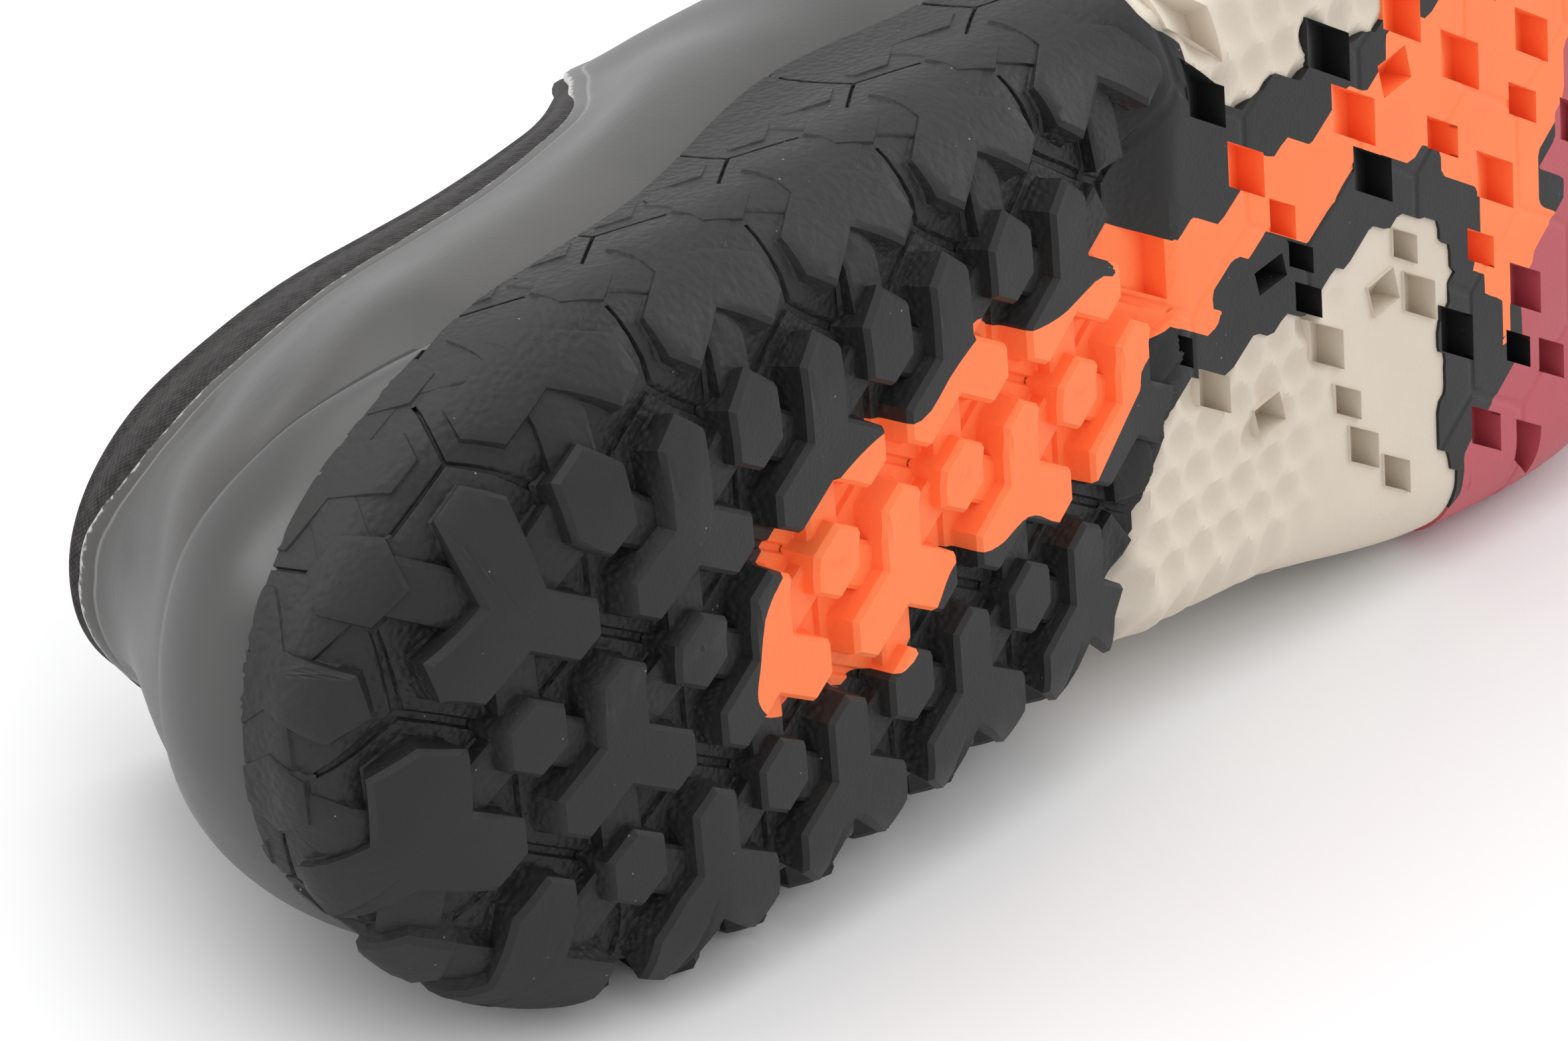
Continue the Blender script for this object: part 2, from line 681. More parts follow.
def at(mesh, place):
    return mesh[0] + np.array([place[0], place[1], 0.0]), mesh[1]


def cell_places():
    """Centres of the honeycomb cells that can touch the sole or its sides."""
    for row in range(-5, 7):
        for column in range(-9, 15):
            along = column + 0.5 * row
            place = np.array([along + 0.5, -(row + 1.0 / 3.0) * ROW])
            plan = plan_of(place[None])[0]
            if -0.05 < plan[0] < LENGTH + 0.06 and abs(plan[1]) < 0.5 * BALL_WIDTH + 0.055:
                yield place


GROOVE = 0.0006
GROOVE_SHALLOW = 0.75         # share of the grooves' depth that is gone where the tread is level
GROOVE_NARROW = 0.62          # share of their width that is gone on the outer side
CELL_RINGS = ((1.0, -1.0), (0.972, -1.0), (0.948, -0.1), (0.930, 0.0), (0.84, 0.0), (0.74, 0.0),
              (0.62, 0.0), (0.5, 0.0), (0.38, 0.0), (0.26, 0.0), (0.13, 0.0))
OUTER_SWELL = 0.0019          # rise of the sheet towards the lug tops on the outer side
LOW_RELIEF = 0.00035          # height of the lugs above it there


def sheet_level(skin, uv):
    """Height of the rubber sheet and of the lug tops over the tread's lowest surface."""
    travel = skin.travel / LUG_PITCH
    swell = OUTER_SWELL * (1.0 - ease(travel, 0.8, 1.6)) * skin.outerness
    low = swell * ease(travel, 0.20, 0.40)
    outer = (LUG_HEIGHT - OUTER_SWELL) * (1.0 - ease(travel, 0.15, 0.75))
    outer = outer + LOW_RELIEF * (1.0 - ease(travel, 1.0, 1.5))
    outer = outer + OUTER_SWELL * (1.0 - ease(travel, 0.8, 1.6))
    inner = LUG_HEIGHT * (1.0 - ease(travel, 0.45, 0.85))
    high = inner + (outer - inner) * skin.outerness
    level = LUG_HEIGHT * (1.0 - 0.7 * ease(travel, 0.35, 1.0))
    rise = plateau(uv)
    return low + (level - low) * rise, high


def tread_sheet():
    """Honeycomb tiles with grooves between them, over the whole sole and its sides."""
    tile, tile_tris = filled(polar(CELL, np.arange(30, 390, 60)), 6, CELL_RINGS)
    per_ring = (len(tile) - 1) // len(CELL_RINGS)
    scale = np.array([ring[0] for ring in CELL_RINGS for _ in range(per_ring)] + [1.0])
    places = np.array(list(cell_places()))
    points = (places[:, None] + tile[None, :, :2]).reshape(-1, 2)
    centre = np.repeat(places, len(tile), axis=0)
    scale = np.tile(scale, len(places))
    skin = Skin(points)
    narrow = 1.0 - GROOVE_NARROW * skin.outerness * ease(skin.travel / LUG_PITCH, 0.1, 0.6)
    wanted = np.where(scale > 0.9, 1.0 - (1.0 - scale) * narrow, scale)
    points = centre + (points - centre) * (wanted / scale)[:, None]
    start = (np.arange(len(places)) * len(tile))[:, None, None]
    tris = (tile_tris[None] + start).reshape(-1, 3)
    drop = np.tile(tile[:, 2], len(places)) * GROOVE * (1.0 - GROOVE_SHALLOW * plateau(points))
    low, _ = sheet_level(Skin(points), points)
    return np.column_stack([points, low + drop]), tris


def tread_lugs():
    """Small hexagons on the honeycomb's corners, three-armed lugs in its cells and low tabs between them."""
    hexagon = lug_mesh(polar(HEX_RADIUS, np.arange(90, 450, 60)), 2)
    arms = lug_mesh(three_arms(), 4)
    tabs = [shifted_lug(tab(degrees)) for degrees in (30, 150, 270)]
    meshes = []
    for place in cell_places():
        if place[0] > PLATEAU_START + 0.02:
            continue
        meshes.append(at(arms, place))
        meshes.append(at(hexagon, place + polar(CELL, 150)))
        meshes.extend(at(piece, place) for piece in tabs)
    return joined(meshes)


def shifted_lug(corners):
    """A low lug around its own middle, moved to where its corners are."""
    middle = corners.mean(axis=0)
    points, tris = lug_mesh(corners - middle, 2, 0.5)
    return points + np.array([middle[0], middle[1], 0.0]), tris


def raised(mesh):
    """A lug mesh with heights in metres, without the parts that the side has no room for."""
    points, tris = mesh
    uv = points[:, :2]
    skin = Skin(uv)
    low, high = sheet_level(skin, uv)
    lifted = points.copy()
    lifted[:, 2] = low + (high - low) * points[:, 2]
    keep = np.minimum((high - low) - 0.5 * LOW_RELIEF, skin.room)
    return clip(lifted, tris, keep)


def by_name(table):
    """A table's rows, each with its values under their columns' names."""
    names, *rows = table
    return [dict(zip(names, row)) for row in rows]


def pocket_frame(pocket):
    """Middle, deep edge and slope of a pocket, as plane vectors."""
    edge_turn, slope_turn = POCKET_TURNS[pocket["kind"]]
    middle = np.array([pocket["along"], pocket["across"]])
    return middle, polar(pocket["half"], edge_turn), polar(pocket["reach"], slope_turn)


def pocket_corners(pocket):
    middle, edge, slope = pocket_frame(pocket)
    corners = np.array([middle - edge, middle + edge, middle + edge + slope, middle - edge + slope])
    turn = edge[0] * slope[1] - edge[1] * slope[0]
    return corners if turn > 0 else corners[::-1]


FLOOR_STEPS = 8
FLOOR_POWER = 1.3             # bend of a pocket's floor
POCKET_SKIRT = 0.0022
ON_EDGE = 0.002              # lug pitches within which a place counts as on an edge


def grid_tris(rows, columns):
    first = (np.arange(rows - 1)[:, None] * columns + np.arange(columns - 1)).ravel()
    return np.vstack([
        np.column_stack([first, first + columns, first + columns + 1]),
        np.column_stack([first, first + columns + 1, first + 1]),
    ])


def pocket_mesh(pocket):
    """The sloping floor and the walls of a pocket, from the level of the tread around it."""
    middle, edge, slope = pocket_frame(pocket)
    side = FLOOR_STEPS + 1
    a, b = np.meshgrid(np.linspace(0.0, 1.0, side), np.linspace(-1.0, 1.0, side), indexing="ij")
    a, b = a.ravel(), b.ravel()
    uv = middle + a[:, None] * slope + b[:, None] * edge
    level, _ = sheet_level(Skin(uv), uv)
    deep = np.minimum(LUG_HEIGHT, level) * (1.0 - a**FLOOR_POWER)
    floor = np.column_stack([uv, level - deep])
    tris = grid_tris(side, side)
    turn = edge[0] * slope[1] - edge[1] * slope[0]
    if turn > 0:
        tris = tris[:, ::-1]
    walls = pocket_walls((np.column_stack([uv, level]), tris), floor)
    under = pocket_walls((floor, tris), floor - np.array([0.0, 0.0, POCKET_SKIRT]))
    return joined([(floor, tris), walls, under])


def without_pockets(mesh, pockets):
    """A flat mesh with a hole for each pocket."""
    points, tris = mesh
    for pocket in pockets:
        corners = pocket_corners(pocket)
        low, high = corners.min(axis=0), corners.max(axis=0)
        uv = points[:, :2][tris]
        near = ((uv.max(axis=1) > low) & (uv.min(axis=1) < high)).all(axis=1)
        if not near.any():
            continue
        outside = [(points, tris[~near])]
        inside = compact(points, tris[near])
        for a, b in zip(corners, np.roll(corners, -1, axis=0)):
            normal = np.array([b[1] - a[1], a[0] - b[0]]) / np.linalg.norm(b - a)
            value = (inside[0][:, :2] - a) @ normal
            if (value > 0).any():
                outside.append(clip(*inside, value))
            inside = clip(*inside, -value)
            if not len(inside[1]):
                break
        points, tris = joined(outside)
    return points, tris


def border(tris):
    """Directed edges that only one triangle has."""
    edges = np.vstack([tris[:, [0, 1]], tris[:, [1, 2]], tris[:, [2, 0]]])
    seen = {(a, b) for a, b in edges.tolist()}
    return [(a, b) for a, b in edges.tolist() if (b, a) not in seen]


def pocket_walls(inside, floor):
    rows = np.array(border(inside[1]))
    count = len(rows)
    top = inside[0]
    points = np.vstack([top[rows[:, 0]], top[rows[:, 1]], floor[rows[:, 0]], floor[rows[:, 1]]])
    i = np.arange(count)
    tris = np.vstack([
        np.column_stack([i, i + count, i + 3 * count]),
        np.column_stack([i, i + 3 * count, i + 2 * count]),
    ])
    return points, tris


def skirt(mesh, pockets, depth):
    """A short inward wall along the open edges of a sheet, as its thickness, left out around the pockets."""
    points, tris = welded(mesh)
    edges = np.array(border(tris))
    middle = 0.5 * (points[edges[:, 0], :2] + points[edges[:, 1], :2])
    beside_pocket = np.zeros(len(edges), dtype=bool)
    for pocket in pockets:
        beside_pocket |= np.abs(depth_in(pocket_corners(pocket), middle)) < ON_EDGE
    edges = edges[~beside_pocket]
    low = points.copy()
    low[:, 2] -= depth
    start = len(points)
    walls = np.vstack([
        np.column_stack([edges[:, 1], edges[:, 0], edges[:, 0] + start]),
        np.column_stack([edges[:, 1], edges[:, 0] + start, edges[:, 1] + start]),
    ])
    return compact(np.vstack([points, low]), walls)


def mesh_object(name, points, faces, material, attributes=None, sharp=32.0):
    mesh = bpy.data.meshes.new(name)
    faces = faces.tolist() if isinstance(faces, np.ndarray) else faces
    mesh.from_pydata(to_world(points).tolist(), [], faces)
    for key, values in (attributes or {}).items():
        values = np.asarray(values, dtype=np.float32)
        kind, field = ("FLOAT_VECTOR", "vector") if values.ndim > 1 else ("FLOAT", "value")
        mesh.attributes.new(key, kind, "POINT").data.foreach_set(field, values.ravel())
    mesh.materials.append(material)
    piece = bpy.data.objects.new(name, mesh)
    bpy.context.collection.objects.link(piece)
    mesh.shade_smooth()
    mesh.set_sharp_from_angle(angle=math.radians(sharp))
    return piece


def placed(piece, node_name=None):
    """A piece of the shoe, which may stand for a node of the model."""
    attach(piece, "root")
    if node_name:
        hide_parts(node_name)
    return piece


# Materials
def socket(shader, name, value):
    shader.inputs[name].default_value = value


def new_material(name, colour, roughness):
    material = bpy.data.materials.new(name)
    material.use_nodes = True
    tree = material.node_tree
    shader = tree.nodes["Principled BSDF"]
    socket(shader, "Base Color", (*colour, 1.0))
    socket(shader, "Roughness", roughness)
    return material, tree, shader


def node(tree, kind, **values):
    made = tree.nodes.new(kind)
    for key, value in values.items():
        if key in made.inputs:
            made.inputs[key].default_value = value
        else:
            setattr(made, key, value)
    return made


def texture(tree, kind, scale, **values):
    """A procedural texture over the object's own coordinates."""
    where = tree.nodes.get("Texture Coordinate") or node(tree, "ShaderNodeTexCoord")
    made = node(tree, kind, **values)
    made.inputs["Scale"].default_value = scale
    tree.links.new(where.outputs["Object"], made.inputs["Vector"])
    return made


def mapped(tree, source, low, high, out_low=0.0, out_high=1.0):
    made = node(tree, "ShaderNodeMapRange")
    made.inputs["From Min"].default_value = low
    made.inputs["From Max"].default_value = high
    made.inputs["To Min"].default_value = out_low
    made.inputs["To Max"].default_value = out_high
    tree.links.new(source, made.inputs["Value"])
    return made.outputs["Result"]


def maths(tree, operation, first, second):
    made = node(tree, "ShaderNodeMath", operation=operation)
    for slot, value in zip(made.inputs, (first, second)):
        if isinstance(value, (int, float)):
            slot.default_value = value
        else:
            tree.links.new(value, slot)
    return made.outputs[0]


def mixed(tree, share, first, second):
    made = node(tree, "ShaderNodeMix", data_type="RGBA")
    colours = [slot for slot in made.inputs if slot.type == "RGBA"]
    tree.links.new(share, made.inputs["Factor"])
    for slot, value in zip(colours, (first, second)):
        if isinstance(value, tuple):
            slot.default_value = (*value, 1.0)
        else:
            tree.links.new(value, slot)
    return next(slot for slot in made.outputs if slot.type == "RGBA")


def bump(tree, shader, height, distance, strength=1.0, before=None):
    made = node(tree, "ShaderNodeBump", Strength=strength, Distance=distance)
    tree.links.new(height, made.inputs["Height"])
    if before is not None:
        tree.links.new(before, made.inputs["Normal"])
    tree.links.new(made.outputs["Normal"], shader.inputs["Normal"])
    return made.outputs["Normal"]


def attribute(tree, name):
    made = node(tree, "ShaderNodeAttribute", attribute_name=name)
    return made.outputs["Fac"]


def rubber(name, colour, dust, roughness, pebble=1.0, specular=0.5):
    """Matte rubber: pebbled in the low parts of the tread, finely grained on lugs, leathery up the side."""
    material, tree, shader = new_material(name, colour, roughness)
    socket(shader, "Specular IOR Level", specular)
    relief = attribute(tree, "relief")
    side = attribute(tree, "side")
    low = maths(tree, "SUBTRACT", 1.0, relief)
    beads = texture(tree, "ShaderNodeTexVoronoi", 1150.0, feature="SMOOTH_F1")
    beads.inputs["Smoothness"].default_value = 0.5
    beads_height = maths(tree, "SUBTRACT", 1.0, beads.outputs["Distance"])
    skin_grain = texture(tree, "ShaderNodeTexNoise", 1800.0, Detail=2.0)
    leather = texture(tree, "ShaderNodeTexVoronoi", 900.0, feature="SMOOTH_F1")
    patches = texture(tree, "ShaderNodeTexNoise", 60.0, Detail=4.0)
    normal = bump(tree, shader, skin_grain.outputs["Fac"], 0.00012, 0.35)
    pebbled = maths(tree, "MULTIPLY", beads_height, maths(tree, "MULTIPLY", low, pebble))
    normal = bump(tree, shader, pebbled, 0.00030, 0.8, normal)
    creased = maths(tree, "MULTIPLY", leather.outputs["Distance"], side)
    bump(tree, shader, creased, 0.00022, 0.5, normal)
    worn = mapped(tree, patches.outputs["Fac"], 0.42, 0.68)
    tinted = mixed(tree, maths(tree, "MULTIPLY", worn, 0.5), colour, dust)
    specks = texture(tree, "ShaderNodeTexVoronoi", 520.0, feature="F1")
    speck = mapped(tree, specks.outputs["Distance"], 0.075, 0.04)
    rare = texture(tree, "ShaderNodeTexNoise", 130.0, Detail=2.0)
    speck = maths(tree, "MULTIPLY", speck, mapped(tree, rare.outputs["Fac"], 0.55, 0.60))
    tinted = mixed(tree, maths(tree, "MULTIPLY", speck, 0.45), tinted, (0.45, 0.44, 0.42))
    tree.links.new(tinted, shader.inputs["Base Color"])
    tree.links.new(mapped(tree, patches.outputs["Fac"], 0.3, 0.7, roughness - 0.07, roughness + 0.08),
                   shader.inputs["Roughness"])
    return material


def foam(name, colour, shade):
    material, tree, shader = new_material(name, colour, 0.72)
    socket(shader, "Specular IOR Level", 0.3)
    grain = texture(tree, "ShaderNodeTexNoise", 1800.0, Detail=3.0)
    bump(tree, shader, grain.outputs["Fac"], 0.0002, 0.3)
    patches = texture(tree, "ShaderNodeTexNoise", 45.0, Detail=4.0)
    tinted = mixed(tree, mapped(tree, patches.outputs["Fac"], 0.4, 0.75, 0.0, 0.4), colour, shade)
    tree.links.new(tinted, shader.inputs["Base Color"])
    return material


def film_material():
    """Smooth grey film over fabric: semi-gloss and slightly cloudy, frayed and pale along its cut edge."""
    material, tree, shader = new_material("film", (0.06, 0.06, 0.06), 0.38)
    clouds = texture(tree, "ShaderNodeTexNoise", 38.0, Detail=3.0)
    fine = texture(tree, "ShaderNodeTexNoise", 1100.0, Detail=2.0)
    fray = texture(tree, "ShaderNodeTexNoise", 1300.0, Detail=3.0)
    cloudy = mapped(tree, clouds.outputs["Fac"], 0.35, 0.68)
    tinted = mixed(tree, cloudy, (0.022, 0.021, 0.020), (0.048, 0.046, 0.044))
    from_end = attribute(tree, "from_end")
    ragged = maths(tree, "ADD", from_end, mapped(tree, fray.outputs["Fac"], 0.3, 0.7, -0.5, 0.5))
    torn = mapped(tree, ragged, 0.85, 0.45)
    tinted = mixed(tree, maths(tree, "MULTIPLY", torn, 0.85), tinted, (0.42, 0.40, 0.385))
    off_line = maths(tree, "ABSOLUTE", maths(tree, "SUBTRACT", from_end, 3.1), 0.0)
    pressed = mapped(tree, off_line, 0.35, 0.12)
    tinted = mixed(tree, maths(tree, "MULTIPLY", pressed, 0.30), tinted, (0.36, 0.35, 0.34))
    tree.links.new(tinted, shader.inputs["Base Color"])
    tree.links.new(mapped(tree, clouds.outputs["Fac"], 0.3, 0.7, 0.36, 0.50), shader.inputs["Roughness"])
    normal = bump(tree, shader, clouds.outputs["Fac"], 0.0008, 0.2)
    bump(tree, shader, fine.outputs["Fac"], 0.0001, 0.3, normal)
    socket(shader, "Coat Weight", 0.10)
    socket(shader, "Coat Roughness", 0.3)
    return material


THREAD = 8600.0


def fabric_material(name, colour, thread, threads=THREAD):
    """Close plain weave with a few raised threads and a little fuzz."""
    material, tree, shader = new_material(name, colour, 0.9)
    where = node(tree, "ShaderNodeAttribute", attribute_name="weave", attribute_type="GEOMETRY")
    parts = node(tree, "ShaderNodeSeparateXYZ")
    tree.links.new(where.outputs["Vector"], parts.inputs["Vector"])
    warp = maths(tree, "SINE", maths(tree, "MULTIPLY", parts.outputs["X"], threads), 0.0)
    weft = maths(tree, "SINE", maths(tree, "MULTIPLY", parts.outputs["Y"], threads), 0.0)
    weave = maths(tree, "MULTIPLY", warp, weft)
    cross = texture(tree, "ShaderNodeTexNoise", 900.0, Detail=3.0)
    clouds = texture(tree, "ShaderNodeTexNoise", 40.0, Detail=4.0)
    tinted = mixed(tree, mapped(tree, cross.outputs["Fac"], 0.35, 0.7), colour, thread)
    tree.links.new(tinted, shader.inputs["Base Color"])
    normal = bump(tree, shader, weave, 0.00010, 0.5)
    normal = bump(tree, shader, cross.outputs["Fac"], 0.0004, 0.5, normal)
    bump(tree, shader, clouds.outputs["Fac"], 0.002, 0.25, normal)
    socket(shader, "Specular IOR Level", 0.25)
    socket(shader, "Sheen Weight", 0.06)
    socket(shader, "Sheen Roughness", 0.5)
    return material


BLACK = rubber("black_rubber", (0.013, 0.013, 0.013), (0.026, 0.025, 0.024), 0.54, 1.0, 0.32)
ORANGE = rubber("orange_rubber", (1.0, 0.20, 0.055), (1.0, 0.25, 0.085), 0.52, 0.3, 0.35)
BURGUNDY = rubber("burgundy_rubber", (0.44, 0.075, 0.095), (0.52, 0.105, 0.125), 0.52, 0.3, 0.35)
CREAM = foam("cream_foam", (0.66, 0.585, 0.49), (0.58, 0.505, 0.41))
FILM_LOOK = film_material()
FABRIC = fabric_material("collar_fabric", (0.014, 0.013, 0.013), (0.034, 0.031, 0.030))
LINING = fabric_material("lining", (0.020, 0.019, 0.019), (0.036, 0.034, 0.034))
LACE_LOOK = fabric_material("lace", (0.030, 0.030, 0.031), (0.055, 0.054, 0.055), 5200.0)
SEAM_LOOK, _, _ = new_material("cup_groove", (0.006, 0.006, 0.006), 0.45)
CUP_LOOK, cup_tree, cup_shader = new_material("cup", (0.046, 0.045, 0.044), 0.30)
cup_clouds = texture(cup_tree, "ShaderNodeTexNoise", 70.0, Detail=3.0)
cup_shine = mapped(cup_tree, cup_clouds.outputs["Fac"], 0.3, 0.7, 0.28, 0.42)
cup_tree.links.new(cup_shine, cup_shader.inputs["Roughness"])
bump(cup_tree, cup_shader, cup_clouds.outputs["Fac"], 0.0005, 0.12)


# Tread pieces
WINDOWS = (stepped(INNER_WINDOW), stepped(OUTER_WINDOW))
WINDOW_SPANS = (((2.4, -3.6), (6.2, -0.7)), ((3.2, -0.2), (7.0, 3.0)))
TOE = stepped(TOE_EDGE)
BAND = rounded(stepped(STRIPE), 4, 2.6)
SHEET_EDGE = 0.0012
FOAM_STEP = 0.032
UNDER_RUBBER = 0.03
DIMPLE_PITCH = 0.25
DIMPLE_DEPTH = 0.0011
DIMPLE_SIZE = 0.44
FOAM_SINK = 0.0004


def zone_of(place):
    """Name of the node whose colour a pocket takes."""
    place = np.array([place])
    if max(depth_in(window, place)[0] for window in WINDOWS) > 0:
        return "midsole"
    if depth_in(TOE, place)[0] > 0:
        return "outsole_toe"
    if depth_in(BAND, place)[0] > 0:
        return "outsole_stripe"
    return "outsole_heel"


def by_colour(mesh):
    """A flat mesh cut along the edges between the rubber's colours, without the foam's windows."""
    for window in WINDOWS:
        mesh = clip(*mesh, -depth_in(window, mesh[0][:, :2]))
    toe_depth = depth_in(TOE, mesh[0][:, :2])
    rest = clip(*mesh, -toe_depth)
    band_depth = depth_in(BAND, rest[0][:, :2])
    return {
        "outsole_heel": clip(*rest, -band_depth),
        "outsole_stripe": clip(*rest, band_depth),
        "outsole_toe": clip(*mesh, toe_depth),
    }


def dimple(uv):
    """Depth share of the round dimples that cover the foam near the waist."""
    row = DIMPLE_PITCH * ROW
    best = np.full(len(uv), 9.0)
    base = np.floor(uv[:, 1] / row)
    for step in (0, 1):
        line = base + step
        shift = 0.5 * DIMPLE_PITCH * np.mod(line, 2)
        column = np.round((uv[:, 0] - shift) / DIMPLE_PITCH)
        gap = np.hypot(uv[:, 0] - shift - column * DIMPLE_PITCH, uv[:, 1] - line * row)
        best = np.minimum(best, gap)
    return np.clip(1.0 - (best / (DIMPLE_SIZE * DIMPLE_PITCH)) ** 2, 0.0, 1.0)


def foam_grid(low, high, step):
    us = np.arange(low[0], high[0] + step, step)
    vs = np.arange(low[1], high[1] + step, step)
    u, v = np.meshgrid(us, vs, indexing="ij")
    points = np.column_stack([u.ravel(), v.ravel(), np.zeros(u.size)])
    return points, grid_tris(len(us), len(vs))


def foam_sheet(window, span):
    """Bare foam in one of the rubber's windows, dimpled towards the waist."""
    flat = foam_grid(*span, FOAM_STEP)
    points, tris = clip(*flat, depth_in(window, flat[0][:, :2]) + UNDER_RUBBER)
    uv = points[:, :2]
    skin = Skin(uv)
    level, _ = sheet_level(skin, uv)
    dimpled = 1.0 - ease(uv[:, 0] - 0.35 * uv[:, 1], 4.9, 5.5)
    points[:, 2] = level - FOAM_SINK - DIMPLE_DEPTH * dimple(uv) * dimpled
    return clip(points, tris, skin.room)


LOOKS = {
    "outsole_heel": ("rubber_black", BLACK),
    "outsole_stripe": ("rubber_orange", ORANGE),
    "outsole_toe": ("rubber_burgundy", BURGUNDY),
    "midsole": ("foam_cream", CREAM),
}


def build_tread():
    pockets = by_name(POCKETS)
    parts = {"midsole": [without_pockets(foam_sheet(*pair), pockets) for pair in zip(WINDOWS, WINDOW_SPANS)]}
    sheet = tread_sheet()
    sheet = clip(*sheet, Skin(sheet[0][:, :2]).room)
    for zone, mesh in by_colour(sheet).items():
        mesh = without_pockets(mesh, pockets)
        parts[zone] = [mesh, skirt(mesh, pockets, SHEET_EDGE)]
    for zone, mesh in by_colour(raised(tread_lugs())).items():
        parts[zone].append(mesh)
    for pocket in pockets:
        middle, _, slope = pocket_frame(pocket)
        points, tris = pocket_mesh(pocket)
        room = Skin(points[:, :2]).room
        parts[zone_of(middle + 0.4 * slope)].append(clip(points, tris, room))
    for zone, meshes in parts.items():
        name, material = LOOKS[zone]
        points, tris = joined(meshes)
        uv = points[:, :2]
        skin = Skin(uv)
        relief = np.maximum(np.clip(points[:, 2] / LUG_HEIGHT, 0.0, 1.0), plateau(uv))
        side = ease(skin.travel / LUG_PITCH, 0.15, 0.7)
        facts = {"relief": relief, "side": side}
        placed(mesh_object(name, skin.points(points[:, 2]), tris, material, facts), zone)


build_tread()


# The side's top edge
AROUND = 336
FINE = np.arange(AROUND) / AROUND


def ring_grid(name, rows, material, facts=None, sharp=40.0, holes=()):
    """A mesh from rows of points around the shoe, closed around and open across, with round holes."""
    count = len(rows[0])
    points = np.vstack(rows)
    first = np.arange(len(points) - count)
    after = np.where(first % count == count - 1, first + 1 - count, first + 1)
    faces = np.column_stack([first, after, after + count, first + count])
    if len(holes):
        middle = points[faces].mean(axis=1)
        for place, axis in holes:
            off = middle - place
            along = off @ axis
            away = np.linalg.norm(off - along[:, None] * axis, axis=1)
            keep = (away > EYELET_RADIUS) | (np.abs(along) > HOLE_REACH)
            faces, middle = faces[keep], middle[keep]
    return mesh_object(name, points, faces, material, facts, sharp)


def side_offset(share, inset, z):
    plan = outline(share) + inward(share) * inset
    return np.column_stack([plan, z])


def build_rim():
    top = rim_height(FINE)
    rows = [
        side_offset(FINE, 0.0000, top - 0.0016),
        side_offset(FINE, 0.0000, top - 0.0005),
        side_offset(FINE, 0.0004, top),
        side_offset(FINE, RIM - 0.0003, top),
        side_offset(FINE, RIM, top - 0.0004),
        side_offset(FINE, RIM, top - 0.004),
    ]
    placed(ring_grid("rim", rows, BLACK))


build_rim()


# Upper
def opening(share):
    side, station = ring_place(share)
    along = smooth(UPPER, "opening", station)
    first = smooth(UPPER, "opening", 0.0)
    last = smooth(UPPER, "opening", 1.0)
    ends = round_end(along - first, OPENING_HEEL_ROUND) * round_end(last - along, OPENING_TOE_ROUND)
    half = smooth(UPPER, "half", station) * HEEL_WIDTH * ends
    return np.column_stack([along * LENGTH, side * half, smooth(UPPER, "height", station) * INSTEP_HEIGHT])


def foot(share, inset=0.0):
    plan = outline(share) + inward(share) * (RIM + CLEAR + inset)
    return np.column_stack([plan, footbed(plan[:, 0]) + CLEAR])


def wall(share, up):
    """Points of the upper's outside, from the sole's rim (0) to the opening's edge (1)."""
    base = foot(share)
    base[:, 2] = np.maximum(base[:, 2], rim_height(share))
    top = opening(share)
    _, station = ring_place(share)
    swell = smooth(UPPER, "swell", station) * HEEL_WIDTH
    crown = smooth(UPPER, "crown", station)
    into = inward(share)
    rise = top[:, 2] - base[:, 2]
    low = base + np.column_stack([-into * swell[:, None], WALL_RISE * rise])
    across = np.column_stack([base[:, :2] - top[:, :2], np.zeros(len(base))])
    high = top + across * (WALL_REACH * crown)[:, None]
    high[:, 2] -= WALL_FALL * rise * (1.0 - crown)
    t = np.broadcast_to(up, (len(base),))[:, None]
    return base * (1 - t) ** 3 + low * 3 * t * (1 - t) ** 2 + high * 3 * t**2 * (1 - t) + top * t**3


# Steps around the shoe and up its wall that measure the wall's slope
WALL_STEP = 0.0045
UP_STEP = 0.02


def wall_out(share, up):
    """Unit normals of the upper's outside."""
    run = wall(share + WALL_STEP, up) - wall(share - WALL_STEP, up)
    rise = wall(share, np.minimum(1.0, up + UP_STEP)) - wall(share, np.maximum(0.0, up - UP_STEP))
    out = np.cross(rise, run)
    return out / np.linalg.norm(out, axis=1, keepdims=True)


FABRIC_SPREAD = 1.40          # the fabric shows wider on the outer side than in the model


def film_end(share):
    side, station = ring_place(share)
    wider = np.where(side < 0, FABRIC_SPREAD, 1.0)
    wider = 1.0 + (wider - 1.0) * ease(station, 0.0, 0.03) * (1.0 - ease(station, 0.30, 0.42))
    return 1.0 - smooth(UPPER, "fabric", station) * wider


def wavy(share, waves, seed):
    """A small, smooth, repeatable waver around the shoe, between -1 and 1."""
    total = np.zeros_like(share)
    for k, (count, size) in enumerate(waves):
        total += size * np.sin(2.0 * np.pi * count * share + seed + 1.7 * k)
    return total


